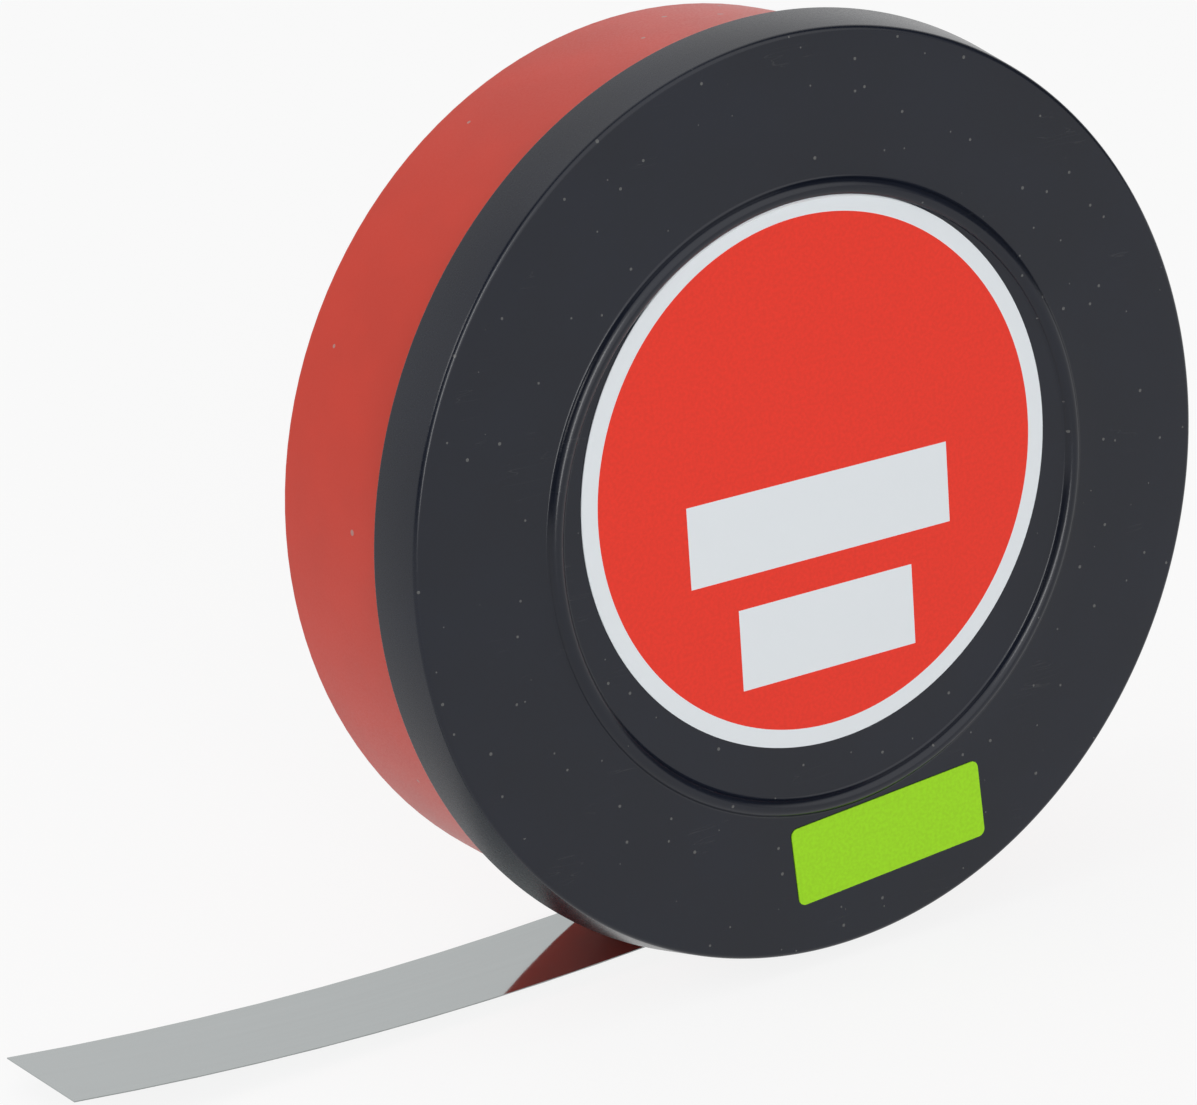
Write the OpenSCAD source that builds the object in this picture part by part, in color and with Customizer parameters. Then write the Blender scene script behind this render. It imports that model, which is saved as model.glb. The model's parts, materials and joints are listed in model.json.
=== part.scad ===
// Shim stock roll: a coil of thin steel band in a round two-part plastic dispenser can.
// The can stands on its rims, with its face tipped back a little and the band's tail
// lying out to the left. X runs along the tail, Y goes from the face to the back,
// Z is up, and the floor is at Z = 0.

/* [Can] */
// Outer radius of the can at its back
can_back_r = 41.5; // [30:0.05:60]
// How much the can widens from its back to the shoulder under the lid's skirt
can_flare = 0.5; // [0:0.05:2]
// Depth of the closed can, from the back to the lid's face
total_depth = 24.2; // [20:0.1:40]
// Wall of the can at its back
can_wall = 1.4; // [0.8:0.05:2]
// Thickness of the can's floor
can_floor = 2; // [1:0.1:4]
// Rounding of the can's back edge
can_edge_round = 0.5; // [0.2:0.05:1.5]
// How far the neck that the lid presses on steps in from the shoulder
neck_step = 0.8; // [0.3:0.05:1]

/* [Lid] */
// Wall of the lid's skirt at the face
skirt_wall = 1.25; // [0.8:0.05:2]
// How much the lid widens from its face to the rear edge of its skirt
skirt_flare = 0.9; // [0.5:0.05:2.5]
// Depth of the lid, from its face to the rear edge of its skirt
lid_depth = 5.25; // [3.5:0.05:8]
// Thickness of the lid's plate
lid_plate = 2; // [1.5:0.05:3]
// Rounding of the lid's front edge
lid_edge_round = 0.5; // [0.1:0.05:1]
// Radial play of the skirt on the can's neck
lid_play = 0.1; // [0.05:0.01:0.3]
// Gap between the skirt's rear edge and the can's shoulder
shoulder_gap = 0.15; // [0.05:0.01:0.4]
// Middle radius of the raised ring on the lid's face
ring_r = 28.35; // [28:0.05:29]
// Width of the raised ring's bulge at its foot
ring_w = 1.65; // [1.4:0.05:2]
// Height of the raised ring
ring_height = 0.65; // [0.4:0.05:0.7]
// Hollow rounding where the ring rises from the face
ring_foot = 0.3; // [0.1:0.05:0.4]

/* [Band] */
// Width of the steel band
band_w = 12.7; // [6:0.1:14]
// Thickness of the steel band
band_t = 0.1; // [0.05:0.01:0.3]
// Length of band wound in the coil
band_length = 5000; // [1000:100:8000]
// Radial play of the coil's outer turn in the can
coil_play = 0.1; // [0.05:0.01:0.3]
// Play between the coil and the can's floor
coil_floor_play = 0.1; // [0.02:0.01:0.3]
// Length of the tail, from where it leaves the coil
tail_length = 79; // [50:1:150]
// Radius to which the tail curls upward
tail_curl_r = 360; // [250:5:600]
// Gap that opens under the tail where it parts from the coil
peel_gap = 0.25; // [0.1:0.05:0.5]
// Play of the tail in its slot, above and below
slot_play = 0.5; // [0.2:0.05:0.8]
// Play of the tail in its slot, at each edge of the band
slot_side_play = 0.5; // [0.2:0.05:0.8]

/* [Label and sticker] */
// Radius of the round paper label
label_r = 25.25; // [15:0.05:25.3]
// Thickness of the paper label
label_t = 0.1; // [0.05:0.01:0.2]
// How far the label's centre lies to the right of the lid's
label_x = -0.25; // [-1:0.05:1]
// How far the label's centre lies above the lid's
label_y = 2.65; // [-3:0.05:3]
// Width of the small sticker
sticker_w = 21.3; // [12:0.1:26]
// Height of the small sticker
sticker_h = 7.5; // [4:0.1:7.5]
// Rounding of the sticker's corners
sticker_corner = 0.7; // [0.2:0.05:1.5]
// Thickness of the sticker
sticker_t = 0.1; // [0.05:0.01:0.2]
// How far the sticker's centre lies to the right of the lid's
sticker_x = 5.3; // [-8:0.1:8]
// How far the sticker's centre lies inside the lid's lower edge
sticker_inset = 9.5; // [8.5:0.05:9.5]
// Turn of the sticker against the label
sticker_turn = 4; // [-10:0.5:10]

/* [Hidden] */
$fn = 180;
eps = 0.02;

// Heights along the can's own axis, from the back
neck_top = total_depth - lid_plate;
skirt_bottom = total_depth - lid_depth;
shoulder_top = skirt_bottom - shoulder_gap;

// Radii that fit in each other
can_inner_r = can_back_r - can_wall;
can_shoulder_r = can_back_r + can_flare;
neck_r = can_shoulder_r - neck_step;
lid_inner_r = neck_r + lid_play;
lid_face_r = lid_inner_r + skirt_wall;
lid_rim_r = lid_face_r + skirt_flare;
sticker_drop = lid_face_r - sticker_inset;
ring_bulge = (pow(ring_w / 2, 2) + pow(ring_height, 2)) / (2 * ring_height);
ring_sunk = ring_bulge - ring_height;
ring_reach = sqrt(pow(ring_bulge + ring_foot, 2) - pow(ring_sunk + ring_foot, 2));
coil_r = can_inner_r - coil_play;
coil_inner_r = sqrt(pow(coil_r, 2) - band_length * band_t / PI);
coil_bottom = can_floor + coil_floor_play;

// Tip of the can on the floor: the line from the skirt's rear edge to the can's rounded back edge
rest_run = skirt_bottom - can_edge_round;
rest_rise = lid_rim_r - can_back_r + can_edge_round;
tip_angle = atan2(rest_rise, rest_run) - asin(can_edge_round / norm([rest_run, rest_rise]));
function floor_r(z) = lid_rim_r - (skirt_bottom - z) * tan(tip_angle);

// The tail leaves the coil at the angle at which its lowest edge just meets the floor
tail_start = acos(1 - (floor_r(coil_bottom) - coil_r) / (tail_curl_r - coil_r));
tail_sweep = tail_length / tail_curl_r * 180 / PI;
// Sweep after which the tail has moved away from the coil's circle by the given rise
function sweep_to(rise) = sqrt(2 * rise / (1 / coil_r - 1 / tail_curl_r)) / tail_curl_r * 180 / PI;
slot_sweep = 1.2 * sweep_to(can_shoulder_r + band_t + 2 * slot_play - coil_r);
peel_start = 0.9 * sweep_to(band_t + eps);
peel_sweep = 1.5 * sweep_to(band_t + eps + peel_gap) - peel_start;

// Middle of the whole object's box, seen from above
tip_x = (tail_curl_r - coil_r) * sin(tail_start) * -1 - tail_curl_r * sin(tail_sweep - tail_start);
middle_x = (tip_x + lid_rim_r) / 2;
front_y = (lid_face_r - lid_edge_round) * sin(tip_angle)
    + (total_depth - lid_edge_round) * cos(tip_angle) + lid_edge_round;
back_y = (can_back_r - can_edge_round) * sin(tip_angle)
    + can_edge_round * (1 - cos(tip_angle));

// Puts a piece drawn along the can's own axis into the stored pose
module stand() {
    translate([-middle_x, (front_y - back_y) / 2, floor_r(0) * cos(tip_angle)])
        rotate([90 - tip_angle, 0, 0])
            children();
}

// Half profile of the can's outside: a rounded back edge, a slight draft and the neck
module can_outline() {
    polygon([
        [0, 0],
        [can_back_r - can_edge_round, 0],
        [can_back_r - can_edge_round, can_edge_round],
        [can_back_r, can_edge_round],
        [can_shoulder_r, shoulder_top],
        [neck_r, shoulder_top],
        [neck_r, neck_top],
        [0, neck_top]
    ]);
    translate([can_back_r - can_edge_round, can_edge_round])
        circle(can_edge_round);
}

// Flat shape of a strip along the tail's curve, between two depths under the tail's outer face
module along_tail(inner_depth, outer_depth, start, sweep) {
    reach = 2 * tail_curl_r;
    rotate(tail_start - 90)
        translate([coil_r - eps - tail_curl_r, 0])
            intersection() {
                difference() {
                    circle(tail_curl_r - outer_depth, $fn = 720);
                    circle(tail_curl_r - inner_depth, $fn = 720);
                }
                polygon([
                    [0, 0],
                    reach * [cos(start), -sin(start)],
                    reach * [cos(start + sweep), -sin(start + sweep)]
                ]);
            }
}

module can_body() {
    color([0.78, 0.16, 0.15])
    stand()
    difference() {
        rotate_extrude()
            can_outline();
        translate([0, 0, can_floor])
            cylinder(r = can_inner_r, h = total_depth);
        translate([0, 0, coil_bottom - slot_side_play])
            linear_extrude(band_w + 2 * slot_side_play)
                along_tail(band_t + slot_play, -slot_play, 0, slot_sweep);
    }
}

// Half profile of the lid: plate, flared skirt and rounded front edge
module lid_outline() {
    polygon([
        [0, neck_top],
        [lid_inner_r, neck_top],
        [lid_inner_r, skirt_bottom],
        [lid_rim_r, skirt_bottom],
        [lid_face_r, total_depth - lid_edge_round],
        [lid_face_r - lid_edge_round, total_depth - lid_edge_round],
        [lid_face_r - lid_edge_round, total_depth],
        [0, total_depth]
    ]);
    translate([lid_face_r - lid_edge_round, total_depth - lid_edge_round])
        circle(lid_edge_round);
}

// Section of the raised ring: a bulge that is sunk in the plate, with a hollow foot on each side
module ring_section() {
    sink = lid_plate / 2;
    foot_top = (ring_sunk + ring_foot) * ring_bulge / (ring_bulge + ring_foot) - ring_sunk;
    translate([ring_r, total_depth]) {
        intersection() {
            translate([0, -ring_sunk])
                circle(ring_bulge);
            translate([-ring_w, -sink])
                square([2 * ring_w, sink + 2 * ring_height]);
        }
        difference() {
            translate([-ring_reach, -sink])
                square([2 * ring_reach, sink + foot_top]);
            for (side = [-1, 1])
                translate([side * ring_reach, ring_foot])
                    circle(ring_foot);
        }
    }
}

module lid() {
    color([0.12, 0.12, 0.14])
    stand()
    rotate_extrude() {
        lid_outline();
        ring_section();
    }
}

// The coil as one turned solid with its bore, and its outer turn running out as the tail
module shim_band() {
    color([0.72, 0.73, 0.74])
    stand()
    translate([0, 0, coil_bottom])
        linear_extrude(band_w) {
            difference() {
                circle(coil_r);
                circle(coil_inner_r);
                along_tail(band_t + peel_gap, band_t, peel_start, peel_sweep);
            }
            along_tail(band_t, 0, 0, tail_sweep);
        }
}

// A round sheet that lies inside the ring, which holds back its upper edge
module face_label() {
    color([0.9, 0.2, 0.17])
    stand()
    translate([0, 0, total_depth])
        intersection() {
            translate([label_x, label_y, 0])
                cylinder(r = label_r, h = label_t);
            cylinder(r = ring_r - ring_reach, h = label_t);
        }
}

// A flat strip with rounded corners, centred
module rounded_strip(width, height, corner, thickness) {
    linear_extrude(thickness) {
        square([width - 2 * corner, height], center = true);
        square([width, height - 2 * corner], center = true);
        for (x = [-1, 1], y = [-1, 1])
            translate([x * (width / 2 - corner), y * (height / 2 - corner)])
                circle(corner);
    }
}

module sticker() {
    color([0.55, 0.85, 0.1])
    stand()
    translate([sticker_x, -sticker_drop, total_depth])
        rotate([0, 0, sticker_turn])
            rounded_strip(sticker_w, sticker_h, sticker_corner, sticker_t);
}

can_body();
lid();
shim_band();
face_label();
sticker();
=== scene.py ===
import json
import math

import bpy
from mathutils import Euler, Matrix, Vector

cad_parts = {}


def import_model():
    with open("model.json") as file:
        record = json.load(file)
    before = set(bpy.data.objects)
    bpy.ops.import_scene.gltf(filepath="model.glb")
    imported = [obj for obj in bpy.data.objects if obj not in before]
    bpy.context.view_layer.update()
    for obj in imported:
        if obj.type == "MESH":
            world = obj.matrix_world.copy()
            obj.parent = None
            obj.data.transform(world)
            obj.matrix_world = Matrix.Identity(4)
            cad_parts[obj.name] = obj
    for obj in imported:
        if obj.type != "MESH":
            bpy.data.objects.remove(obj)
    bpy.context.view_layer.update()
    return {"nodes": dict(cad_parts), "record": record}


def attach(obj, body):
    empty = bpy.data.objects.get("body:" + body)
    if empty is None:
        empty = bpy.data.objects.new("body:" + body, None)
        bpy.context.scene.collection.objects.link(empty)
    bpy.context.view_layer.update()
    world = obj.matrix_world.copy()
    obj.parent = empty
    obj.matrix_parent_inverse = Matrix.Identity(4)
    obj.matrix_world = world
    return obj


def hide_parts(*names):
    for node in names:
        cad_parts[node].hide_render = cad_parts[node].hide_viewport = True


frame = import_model()

# The can's own frame: x across the face, y up the face, z from the back to the face
MM = 0.001
back_face = next(m for m in frame["record"]["mounts"] if m["name"] == "back_face")
can_axis = -Vector(back_face["axis"]).normalized()
can_across = Vector((1, 0, 0))
can_up = can_axis.cross(can_across)
CAN = Matrix((can_across, can_up, can_axis)).transposed().to_4x4()
CAN.translation = Vector(back_face["pos_m"])


def in_can(point):
    """A point of the world in the can's own frame, in millimetres."""
    return (CAN.inverted() @ point) / MM


def in_world(point):
    """A point of the can's own frame, in millimetres, in the world."""
    return CAN @ (Vector(point) * MM)


def node_points(node):
    """A node's corners in the can's own frame, in millimetres."""
    return [in_can(v.co) for v in frame["nodes"][node].data.vertices]


# The label's place on the face; its node is cut off at the top, so its centre comes from its lower edge
label_points = node_points("face_label")
LABEL_X = (min(p.x for p in label_points) + max(p.x for p in label_points)) / 2
LABEL_R = (max(p.x for p in label_points) - min(p.x for p in label_points)) / 2
LABEL_Y = min(p.y for p in label_points) + LABEL_R
LABEL_T = 0.1

# The label's print, in millimetres from the label's centre
PRINT_R = 23.57
PANEL_WIDE = {"w": 28.5, "h": 7.55, "x": -0.1, "y": -3.92}
PANEL_SHORT = {"w": 19.1, "h": 7.55, "x": 0.05, "y": -14.52}

# The lid's section, in millimetres
FACE_Z = 24.2
LID_DEPTH = 5.25
LID_PLATE = 2
LID_INNER_R = 41.3
LID_FACE_R = 42.55
LID_RIM_R = 43.45
LID_EDGE_ROUND = 0.5
LID_RIM_ROUND = 0.15

# The raised ring on the face: a bulge sunk in the plate, with a hollow foot on each side
RING_R = 28.35
RING_W = 1.65
RING_HEIGHT = 0.65
RING_FOOT = 0.3
RING_BULGE = (RING_W ** 2 / 4 + RING_HEIGHT ** 2) / (2 * RING_HEIGHT)
RING_SUNK = RING_BULGE - RING_HEIGHT
RING_REACH = math.sqrt((RING_BULGE + RING_FOOT) ** 2 - (RING_SUNK + RING_FOOT) ** 2)
RING_SLOPE = math.atan2(RING_REACH, RING_SUNK + RING_FOOT)

# How fine the meshes are: corners in a turn, and the radii of rings of corners on flat stretches
LID_STEPS = 480
LID_INNER_RINGS = (8, 16, 24)
LID_OUTER_RINGS = (32, 36, 40)
LID_UNDER_RING = 20
LABEL_STEPS = 360
LABEL_RINGS = [4, 10, 16, 20]
LABEL_EDGE_RINGS = 20
LABEL_EDGE_STEP = 0.1
HARD_EDGE = math.radians(35)

# Thickness of the band, which is the pitch of the coil's turns, in millimetres
BAND_T = 0.1

# Colours as linear light
RED_PLASTIC = (0.54, 0.03, 0.014, 1)
RED_GLOSS = (1, 0.85, 0.65, 1)
BLACK_PLASTIC = (0.003, 0.005, 0.012, 1)
DUST = (0.3, 0.3, 0.28, 1)
STEEL = (0.375, 0.4, 0.4, 1)
# Painted shade for the gaps between the coil's turns
SEAM_PAINTED_SHADE = (0.06, 0.06, 0.06, 1)
LABEL_RED = (0.83, 0.036, 0.017, 1)
LABEL_WHITE = (0.76, 0.8, 0.83, 1)
STICKER_GREEN = (0.35, 0.74, 0.01, 1)
FLOOR_PALE = (0.8, 0.8, 0.8, 1)
WHITE = (1, 1, 1, 1)

# Finishes: roughness of the smoothest and the dullest places, or what a stretch adds to it
RED_ROUGHNESS = (0.32, 0.42)
BLACK_ROUGHNESS = (0.17, 0.24)
SKIRT_DULLER = 0.08
STEEL_ROUGHNESS = (0.03, 0.07)
COIL_END_DULLER = 0.25
LABEL_ROUGHNESS = 0.5
STICKER_ROUGHNESS = 0.55
FLOOR_ROUGHNESS = 0.9

# The floor: its side in metres, and the share of it that glows white for the camera
FLOOR_SIDE = 6
FLOOR_GLOW = 0.85

# The studio's light, and what is mirrored of it: a white back, a dim front and a bright window there
ROOM_LIGHT = 0.58
ROOM_DIM = 0.12
ROOM_FRONT = 0.05
ROOM_BACK = 0.35
WINDOW_LEVEL = 1.6
WINDOW_WAY = (0.1, -0.86, 0.5)
WINDOW_EDGE = 0.68
WINDOW_CORE = 0.85

# The lamps: place and size in metres, power in watts
LAMP_AIM = Vector((0, 0, 0.04))
LAMPS = {
    "overhead": {"at": (0, 0.3, 1.2), "size": (1.2, 1.2), "power": 2},
    "front": {"at": (-0.485, -0.911, 0.356), "size": (1.4, 0.5), "power": 0.6},
    "key": {"at": (-0.3, -1.0, 0.35), "size": (0.22, 0.7), "power": 3.0},
    "left": {"at": (-0.95, 0.1, 0.6), "size": (0.4, 0.4), "power": 2.6},
}

# The camera: place in metres, turn in degrees, lens and sensor in millimetres
CAMERA_AT = (-0.22887, -0.34699, 0.2093)
CAMERA_TURN = (67.6498, 0.5908, -33.6038)
CAMERA_LENS = 150.376
CAMERA_NEAR = 0.01
SENSOR_W = 36


class Graph:
    """The nodes of a material or of the world, made and linked in short lines."""

    def __init__(self, owner):
        owner.use_nodes = True
        self.owner = owner
        self.tree = owner.node_tree

    @property
    def shader(self):
        return self.tree.nodes["Principled BSDF"]

    def put(self, socket, value):
        """Links an output to the socket, or sets the socket to a plain value."""
        if isinstance(value, bpy.types.NodeSocket):
            self.tree.links.new(value, socket)
        else:
            socket.default_value = value

    def add(self, kind, settings=None, **inputs):
        """Adds a node; inputs are values or outputs, keyed by socket name or as in_0, in_1."""
        made = self.tree.nodes.new("ShaderNode" + kind)
        for key, value in (settings or {}).items():
            setattr(made, key, value)
        for key, value in inputs.items():
            name = int(key[3:]) if key.startswith("in_") else key.replace("_", " ")
            self.put(made.inputs[name], value)
        return made

    def finish(self, **inputs):
        """Sets or links inputs of the surface itself, keyed by socket name."""
        for key, value in inputs.items():
            self.put(self.shader.inputs[key.replace("_", " ")], value)

    def math(self, operation, a, b=0.0, c=0.0):
        return self.add("Math", {"operation": operation}, in_0=a, in_1=b, in_2=c).outputs[0]

    def dot(self, a, b):
        return self.add("VectorMath", {"operation": "DOT_PRODUCT"}, in_0=a, in_1=b).outputs["Value"]

    def mix(self, factor, a, b):
        return self.add("Mix", {"data_type": "RGBA"}, Factor=factor, in_6=a, in_7=b).outputs[2]

    def ramp(self, value, low, high, to_low=0.0, to_high=1.0):
        """Goes smoothly from to_low to to_high as the value goes from low to high."""
        ends = {"From_Min": low, "From_Max": high, "To_Min": to_low, "To_Max": to_high}
        return self.add("MapRange", {"interpolation_type": "SMOOTHSTEP"}, Value=value, **ends).outputs[0]

    def can_coords(self):
        """Places in the can's own frame in millimetres, which move with the piece."""
        place = CAN.inverted()
        coords = self.add("TexCoord").outputs["Object"]
        mapped = self.add("Mapping", {"vector_type": "POINT"}, Vector=coords)
        mapped.inputs["Location"].default_value = place.translation / MM
        mapped.inputs["Rotation"].default_value = place.to_euler()
        mapped.inputs["Scale"].default_value = (1 / MM, 1 / MM, 1 / MM)
        return mapped.outputs[0]

    def stretched(self, coords, factors):
        return self.add("VectorMath", {"operation": "MULTIPLY"}, in_0=coords, in_1=factors).outputs[0]

    def across_and_up(self, coords):
        """The x and y of places in the can's own frame."""
        place = self.add("SeparateXYZ", Vector=coords)
        return place.outputs["X"], place.outputs["Y"]

    def length(self, x, y):
        return self.math("SQRT", self.math("ADD", self.math("MULTIPLY", x, x), self.math("MULTIPLY", y, y)))

    def noise(self, coords, scale, detail):
        return self.add("TexNoise", Vector=coords, Scale=scale, Detail=detail).outputs["Fac"]

    def specks(self, coords, dimensions, scale, rarity, reach):
        """1 on scattered grains of dust, which differ in size."""
        cells = self.add("TexVoronoi", {"voronoi_dimensions": dimensions}, Vector=coords, Scale=scale)
        chance = self.add("TexWhiteNoise", {"noise_dimensions": "3D"}, Vector=cells.outputs["Position"])
        size = self.ramp(chance.outputs["Value"], rarity, 1.0, 0.0, reach * scale)
        return self.math("LESS_THAN", cells.outputs["Distance"], size)

    def seen(self):
        """1 for rays from the camera, by themselves or through a mirror or glass."""
        path = self.add("LightPath")
        mirrored = self.math("MAXIMUM", path.outputs["Is Glossy Ray"], path.outputs["Is Transmission Ray"])
        return self.math("MAXIMUM", path.outputs["Is Camera Ray"], mirrored)

    def bump(self, height, distance, strength):
        """Gives the surface a relief, whose full height is the distance in millimetres."""
        made = self.add("Bump", Height=height, Distance=distance * MM, Strength=strength)
        self.finish(Normal=made.outputs[0])


def shade(colour, factor):
    """A colour made darker or paler."""
    return tuple(c * factor for c in colour[:3]) + (1,)


def red_plastic():
    """Satin red mouldings, faintly clouded, with a little dust."""
    g = Graph(bpy.data.materials.new("red_plastic"))
    coords = g.can_coords()
    cloud = g.noise(coords, scale=0.12, detail=3)
    body = g.mix(g.ramp(cloud, 0.3, 0.7), shade(RED_PLASTIC, 0.93), RED_PLASTIC)
    dust = g.math("MULTIPLY", g.specks(coords, "3D", scale=0.35, rarity=0.5, reach=0.3), 0.6)
    grain = g.noise(coords, scale=5.0, detail=3)
    roughness = g.ramp(grain, 0.2, 0.8, *RED_ROUGHNESS)
    g.finish(Base_Color=g.mix(dust, body, DUST), Roughness=roughness)
    g.finish(Specular_IOR_Level=0.22, Specular_Tint=RED_GLOSS)
    g.bump(grain, distance=0.006, strength=0.4)
    return g.owner


def black_plastic():
    """Black mouldings: a smooth face with dust and scuffs, and a duller skirt."""
    g = Graph(bpy.data.materials.new("black_plastic"))
    coords = g.can_coords()
    skirt = g.ramp(g.length(*g.across_and_up(coords)), LID_FACE_R - 0.4, LID_FACE_R + 0.1)
    cloud = g.noise(coords, scale=0.09, detail=4)
    body = g.mix(g.ramp(cloud, 0.3, 0.75), BLACK_PLASTIC, shade(BLACK_PLASTIC, 1.25))
    streaks = g.noise(g.stretched(coords, (0.06, 0.9, 0.06)), scale=1.0, detail=2)
    line = g.ramp(g.math("ABSOLUTE", g.math("SUBTRACT", streaks, 0.5)), 0.0, 0.006, 1.0, 0.0)
    scuffed = g.ramp(g.noise(coords, scale=0.16, detail=2), 0.58, 0.7)
    scuff = g.math("MULTIPLY", g.math("MULTIPLY", line, scuffed), 0.06)
    dust = g.math("MULTIPLY", g.specks(coords, "2D", scale=0.3, rarity=0.35, reach=0.16), 0.3)
    marks = g.math("MULTIPLY", g.math("MAXIMUM", dust, scuff), g.math("SUBTRACT", 1.0, skirt))
    grain = g.noise(coords, scale=4.0, detail=3)
    smooth = g.ramp(grain, 0.2, 0.8, *BLACK_ROUGHNESS)
    roughness = g.math("ADD", smooth, g.math("MULTIPLY", skirt, SKIRT_DULLER))
    g.finish(Base_Color=g.mix(marks, body, DUST), Roughness=roughness, Specular_IOR_Level=0.38)
    g.bump(grain, distance=0.003, strength=0.3)
    return g.owner


def turn_seams(g, coords):
    """1 in the gaps of the spiral that the band's turns make, where the shade between the turns is painted.
    """
    x, y = g.across_and_up(coords)
    around = g.math("DIVIDE", g.math("ARCTAN2", y, x), 2 * math.pi)
    turns = g.math("DIVIDE", g.length(x, y), BAND_T)
    turn = g.math("FRACT", g.math("SUBTRACT", turns, around))
    return g.ramp(g.math("ABSOLUTE", g.math("SUBTRACT", turn, 0.5)), 0.3, 0.5)


def spring_steel():
    """Rolled steel: fine lines along the band, and the edges of the turns on the coil's two ends, with
    painted shade in the gaps between the turns.
    """
    g = Graph(bpy.data.materials.new("spring_steel"))
    coords = g.can_coords()
    lines = g.noise(g.stretched(coords, (0.03, 0.03, 14.0)), scale=1.0, detail=3)
    rolled = g.mix(g.ramp(lines, 0.3, 0.7), shade(STEEL, 0.95), STEEL)
    along = g.dot(g.add("TexCoord").outputs["Normal"], can_axis)
    edge = g.math("GREATER_THAN", g.math("ABSOLUTE", along), 0.7)
    # The gaps between the turns on the coil's ends: painted shade in the colour, and a dip in the relief
    seam_shade_and_dip = g.math("MULTIPLY", edge, turn_seams(g, coords))
    smooth = g.ramp(lines, 0.2, 0.8, *STEEL_ROUGHNESS)
    roughness = g.math("ADD", smooth, g.math("MULTIPLY", edge, COIL_END_DULLER))
    # The gaps between the turns are painted dark as shade
    g.finish(Base_Color=g.mix(seam_shade_and_dip, rolled, SEAM_PAINTED_SHADE), Roughness=roughness, Metallic=0.94)
    g.bump(g.math("SUBTRACT", g.math("MULTIPLY", lines, 0.04), seam_shade_and_dip), distance=0.01, strength=0.3)
    return g.owner


def fibred_ink(g, coords, ink, deepest):
    """Ink that varies with the paper's fibre, which also gives the surface its relief."""
    fibre = g.noise(coords, scale=3.0, detail=4)
    g.bump(fibre, distance=0.01, strength=0.4)
    return g.mix(g.ramp(fibre, 0.3, 0.7), shade(ink, deepest), ink)


def printed_label():
    """Red print on white paper, with a white border and two white panels."""
    g = Graph(bpy.data.materials.new("printed_label"))
    coords = g.can_coords()
    across, up = g.across_and_up(coords)
    x = g.math("SUBTRACT", across, LABEL_X)
    y = g.math("SUBTRACT", up, LABEL_Y)
    white = g.math("GREATER_THAN", g.length(x, y), PRINT_R)
    for panel in (PANEL_WIDE, PANEL_SHORT):
        inside_x = g.math("COMPARE", x, panel["x"], panel["w"] / 2)
        inside_y = g.math("COMPARE", y, panel["y"], panel["h"] / 2)
        white = g.math("MAXIMUM", white, g.math("MULTIPLY", inside_x, inside_y))
    ink = fibred_ink(g, coords, LABEL_RED, 0.92)
    g.finish(Base_Color=g.mix(white, ink, LABEL_WHITE), Roughness=LABEL_ROUGHNESS, Specular_IOR_Level=0.3)
    return g.owner


def green_paper():
    """Plain green paper."""
    g = Graph(bpy.data.materials.new("green_paper"))
    ink = fibred_ink(g, g.can_coords(), STICKER_GREEN, 0.9)
    g.finish(Base_Color=ink, Roughness=STICKER_ROUGHNESS, Specular_IOR_Level=0.3)
    return g.owner


def arc(centre, radius, start, end, steps):
    """Points of a rounded corner of a section, in degrees."""
    made = []
    for i in range(steps + 1):
        angle = math.radians(start + (end - start) * i / steps)
        made.append((centre[0] + radius * math.cos(angle), centre[1] + radius * math.sin(angle)))
    return made


def tangent_angle(upper, upper_round, lower, lower_round):
    """Angle at which one straight flank meets two roundings, in degrees."""
    across = upper[0] - lower[0]
    up = upper[1] - lower[1]
    turn = math.acos((lower_round - upper_round) / math.hypot(across, up))
    return math.degrees(math.atan2(up, across) - turn)


def ring_section():
    """The raised ring's section, from its inner foot over the bulge to its outer foot."""
    side = 90 - math.degrees(RING_SLOPE)
    inner_foot = (RING_R - RING_REACH, FACE_Z + RING_FOOT)
    outer_foot = (RING_R + RING_REACH, FACE_Z + RING_FOOT)
    points = arc(inner_foot, RING_FOOT, -90, -side, steps=6)
    points += arc((RING_R, FACE_Z - RING_SUNK), RING_BULGE, 180 - side, side, steps=20)[1:-1]
    points += arc(outer_foot, RING_FOOT, 180 + side, 270, steps=6)
    return points


def lid_section():
    """The lid's half section: over the face and its ring, down the skirt and back inside."""
    rear = FACE_Z - LID_DEPTH
    under = FACE_Z - LID_PLATE
    front_edge = (LID_FACE_R - LID_EDGE_ROUND, FACE_Z - LID_EDGE_ROUND)
    rim_edge = (LID_RIM_R - LID_RIM_ROUND, rear + LID_RIM_ROUND)
    slope = tangent_angle(front_edge, LID_EDGE_ROUND, rim_edge, LID_RIM_ROUND)
    points = [(0, FACE_Z)] + [(radius, FACE_Z) for radius in LID_INNER_RINGS]
    points += ring_section()
    points += [(radius, FACE_Z) for radius in LID_OUTER_RINGS]
    points += arc(front_edge, LID_EDGE_ROUND, 90, slope, steps=12)
    points += arc(rim_edge, LID_RIM_ROUND, slope, -90, steps=6)
    points += [(LID_INNER_R, rear), (LID_INNER_R, under), (LID_UNDER_RING, under), (0, under)]
    return points


def piece(name, verts, faces):
    """A smooth-shaded object of the scene, with its hard edges kept."""
    mesh = bpy.data.meshes.new(name)
    mesh.from_pydata(verts, [], faces)
    mesh.shade_smooth()
    mesh.set_sharp_from_angle(angle=HARD_EDGE)
    made = bpy.data.objects.new(name, mesh)
    bpy.context.scene.collection.objects.link(made)
    return made


def turned(name, section, steps):
    """A mesh made by turning a half section round the can's axis."""
    verts = []
    rings = []
    for radius, height in section:
        count = steps if radius else 1
        rings.append(range(len(verts), len(verts) + count))
        for i in range(count):
            angle = 2 * math.pi * i / steps
            verts.append(in_world((radius * math.cos(angle), radius * math.sin(angle), height)))
    faces = []
    for near, far in zip(rings, rings[1:]):
        for i in range(steps):
            j = (i + 1) % steps
            corners = (near[i % len(near)], far[i % len(far)], far[j % len(far)], near[j % len(near)])
            faces.append(tuple(dict.fromkeys(corners)))
    return piece(name, verts, faces)


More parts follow.
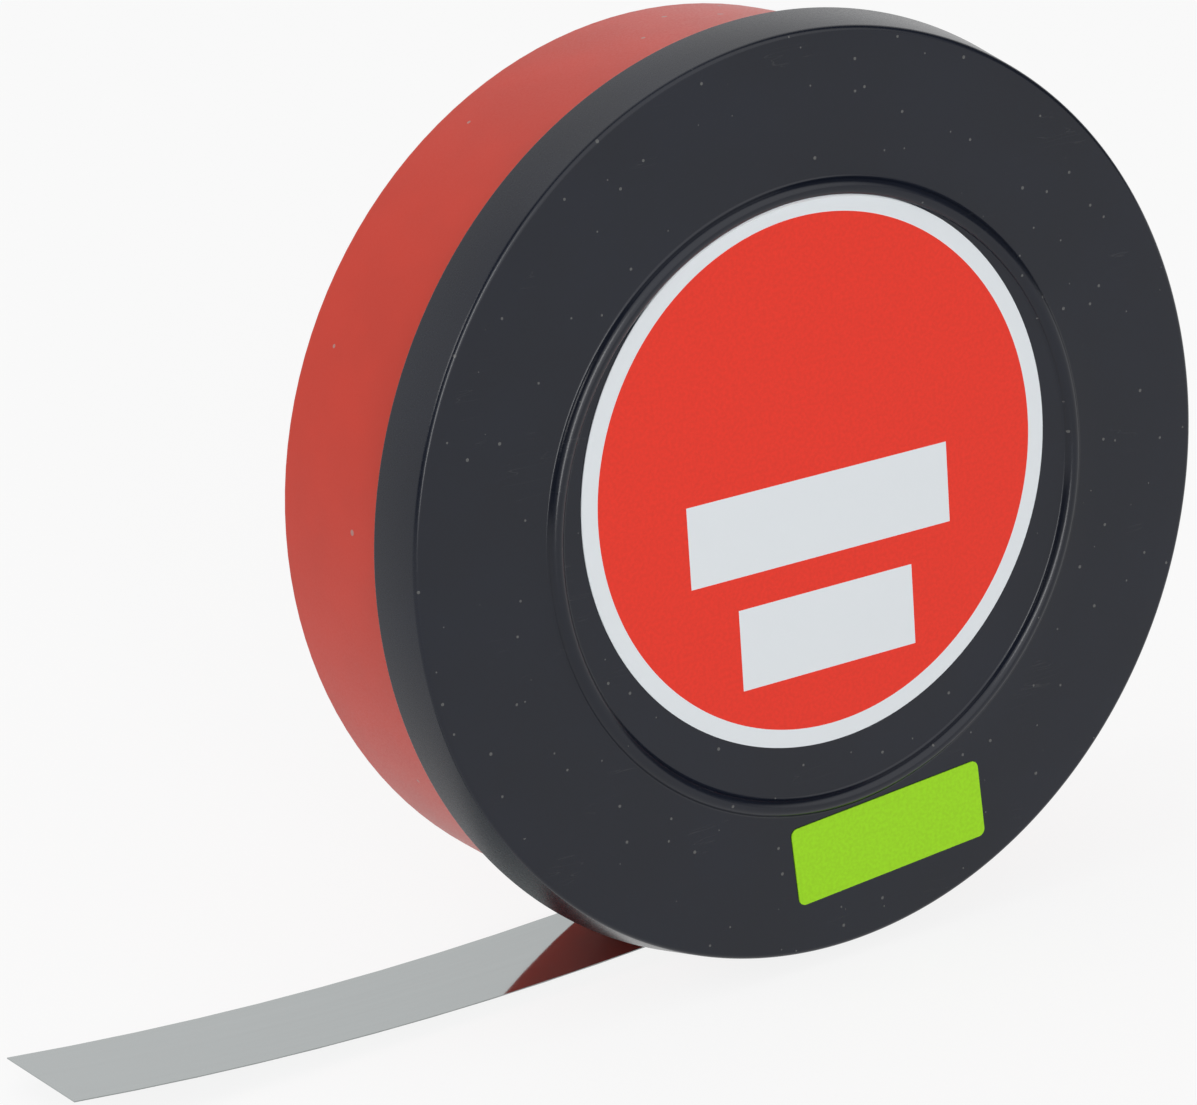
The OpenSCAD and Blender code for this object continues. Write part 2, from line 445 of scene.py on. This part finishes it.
def over_face(radius, lift):
    """Radius and height at which a sheet on the face lies; past the ring's foot it bends up the ring."""
    past = radius - (RING_R - RING_REACH)
    if past <= 0:
        return radius, FACE_Z + lift
    bend = past / RING_FOOT
    if bend <= RING_SLOPE:
        inner = RING_FOOT - lift
        return radius - past + inner * math.sin(bend), FACE_Z + RING_FOOT - inner * math.cos(bend)
    turn = RING_SLOPE - (past - RING_SLOPE * RING_FOOT) / RING_BULGE
    outer = RING_BULGE + lift
    return RING_R - outer * math.sin(turn), FACE_Z - RING_SUNK + outer * math.cos(turn)


def paper_label(steps):
    """The round label: a thin sheet whose upper edge climbs the ring."""
    edge_rings = [LABEL_R - LABEL_EDGE_STEP * i for i in range(LABEL_EDGE_RINGS, -1, -1)]
    radii = LABEL_RINGS + edge_rings
    verts = [(LABEL_X, LABEL_Y, FACE_Z + LABEL_T)]
    for radius, lift in [(r, LABEL_T) for r in radii] + [(LABEL_R, 0)]:
        for i in range(steps):
            angle = 2 * math.pi * i / steps
            x = LABEL_X + radius * math.cos(angle)
            y = LABEL_Y + radius * math.sin(angle)
            flat = math.hypot(x, y)
            reach, height = over_face(flat, lift)
            verts.append((x * reach / flat, y * reach / flat, height))
    faces = [(0, 1 + i, 1 + (i + 1) % steps) for i in range(steps)]
    for ring in range(len(radii)):
        start = 1 + ring * steps
        for i in range(steps):
            j = (i + 1) % steps
            faces.append((start + i, start + steps + i, start + steps + j, start + j))
    return piece("paper_label", [in_world(v) for v in verts], faces)


def dress(node, material):
    """Gives a node its material."""
    mesh = frame["nodes"][node].data
    mesh.materials.clear()
    mesh.materials.append(material)


def stand_for(made, node, body, material):
    """Lets a finer piece stand for a node, on its body and with its finish."""
    made.data.materials.append(material)
    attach(made, body)
    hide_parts(node)


def floor():
    """A white sheet that glows a little for the camera, so that the shadow stays faint."""
    bpy.ops.mesh.primitive_plane_add(size=FLOOR_SIDE)
    plane = bpy.context.object
    plane.name = "floor"
    g = Graph(bpy.data.materials.new("floor_white"))
    g.finish(Base_Color=FLOOR_PALE, Roughness=FLOOR_ROUGHNESS)
    glow = g.add("Emission", Color=WHITE, Strength=1.0)
    share = g.math("MULTIPLY", g.seen(), FLOOR_GLOW)
    sheet = g.add("MixShader", in_0=share, in_1=g.shader.outputs[0], in_2=glow.outputs[0])
    g.put(g.tree.nodes["Material Output"].inputs["Surface"], sheet.outputs[0])
    plane.data.materials.append(g.owner)


def world():
    """White as background and as light; where it is mirrored, a dim front with a bright window."""
    g = Graph(bpy.data.worlds.new("studio"))
    way = g.add("TexCoord").outputs["Generated"]
    depth = g.add("SeparateXYZ", Vector=way).outputs["Y"]
    room = g.ramp(depth, ROOM_FRONT, ROOM_BACK, ROOM_DIM, 1.0)
    window = g.ramp(g.dot(way, WINDOW_WAY), WINDOW_EDGE, WINDOW_CORE, 0.0, WINDOW_LEVEL)
    mirrored = g.math("MAXIMUM", room, window)
    path = g.add("LightPath")
    glossy = path.outputs["Is Glossy Ray"]
    light = g.add("MapRange", Value=glossy, To_Min=ROOM_LIGHT, To_Max=mirrored).outputs[0]
    clear = g.math("MAXIMUM", path.outputs["Is Camera Ray"], path.outputs["Is Transmission Ray"])
    background = g.tree.nodes["Background"]
    background.inputs["Color"].default_value = WHITE
    g.put(background.inputs["Strength"], g.math("MAXIMUM", light, clear))
    bpy.context.scene.world = g.owner


def soft_light(name, at, size, power):
    """A large softbox that faces the can."""
    data = bpy.data.lights.new(name, "AREA")
    data.shape = "RECTANGLE"
    data.size = size[0]
    data.size_y = size[1]
    data.energy = power
    lamp = bpy.data.objects.new(name, data)
    bpy.context.scene.collection.objects.link(lamp)
    lamp.location = at
    lamp.rotation_euler = (LAMP_AIM - Vector(at)).to_track_quat("-Z", "Y").to_euler()


def camera():
    """The photograph's own point of view."""
    data = bpy.data.cameras.new("camera")
    data.sensor_width = SENSOR_W
    data.lens = CAMERA_LENS
    data.clip_start = CAMERA_NEAR
    made = bpy.data.objects.new("camera", data)
    bpy.context.scene.collection.objects.link(made)
    made.location = CAMERA_AT
    made.rotation_euler = Euler([math.radians(a) for a in CAMERA_TURN], "XYZ")
    bpy.context.scene.camera = made


# The object
dress("can_body", red_plastic())
dress("shim_band", spring_steel())
dress("sticker", green_paper())
stand_for(turned("turned_lid", lid_section(), LID_STEPS), "lid", "lid", black_plastic())
stand_for(paper_label(LABEL_STEPS), "face_label", "lid", printed_label())

# The studio
floor()
world()
for lamp_name, lamp_settings in LAMPS.items():
    soft_light(lamp_name, **lamp_settings)
camera()
bpy.context.scene.view_settings.view_transform = "Standard"
